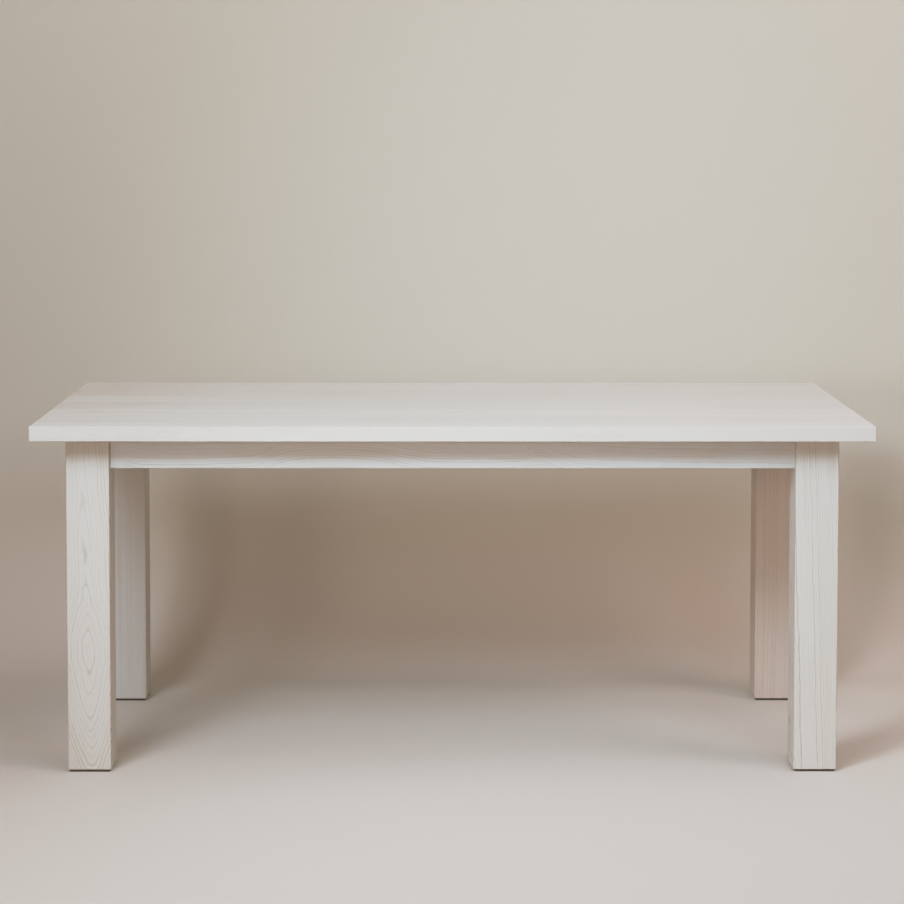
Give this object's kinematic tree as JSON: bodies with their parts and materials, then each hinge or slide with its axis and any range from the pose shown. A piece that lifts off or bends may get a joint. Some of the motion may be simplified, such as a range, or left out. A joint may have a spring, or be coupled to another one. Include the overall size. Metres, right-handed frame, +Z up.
{
  "type": "dining table",
  "caption": "Rectangular dining table with an overhanging plank top of whitewashed ash, square legs bolted to an apron frame, and felt pads under the feet.",
  "frame": {"origin": "on the floor, under the middle of the top", "axes": "+X along the table, +Y from the front edge to the rear edge, +Z up"},
  "size_m": [1.8, 0.9, 0.76],
  "materials": {
    "whitewashed_ash": "matt white wash over open grain",
    "bare_ash": "sanded and unfinished",
    "felt": "pressed wool felt, dark brown",
    "zinc_steel": "bright zinc plate"
  },
  "bodies": {
    "root": {"top_board_1": "whitewashed_ash", "top_board_2": "whitewashed_ash", "top_board_3": "whitewashed_ash", "top_board_4": "whitewashed_ash", "top_board_5": "whitewashed_ash", "top_board_6": "whitewashed_ash", "top_board_7": "whitewashed_ash", "leg_front_left": "whitewashed_ash", "leg_front_right": "whitewashed_ash", "leg_rear_right": "whitewashed_ash", "leg_rear_left": "whitewashed_ash", "apron_front": "whitewashed_ash", "apron_right": "whitewashed_ash", "apron_rear": "whitewashed_ash", "apron_left": "whitewashed_ash", "cross_rail": "bare_ash", "corner_block_front_left": "bare_ash", "corner_block_front_right": "bare_ash", "corner_block_rear_right": "bare_ash", "corner_block_rear_left": "bare_ash", "foot_pad_front_left": "felt", "foot_pad_front_right": "felt", "foot_pad_rear_right": "felt", "foot_pad_rear_left": "felt", "hanger_bolts": "zinc_steel", "bolt_washers": "zinc_steel", "bolt_nuts": "zinc_steel", "block_screws": "zinc_steel", "top_clips": "zinc_steel", "top_screws": "zinc_steel"}
  },
  "joints": []
}
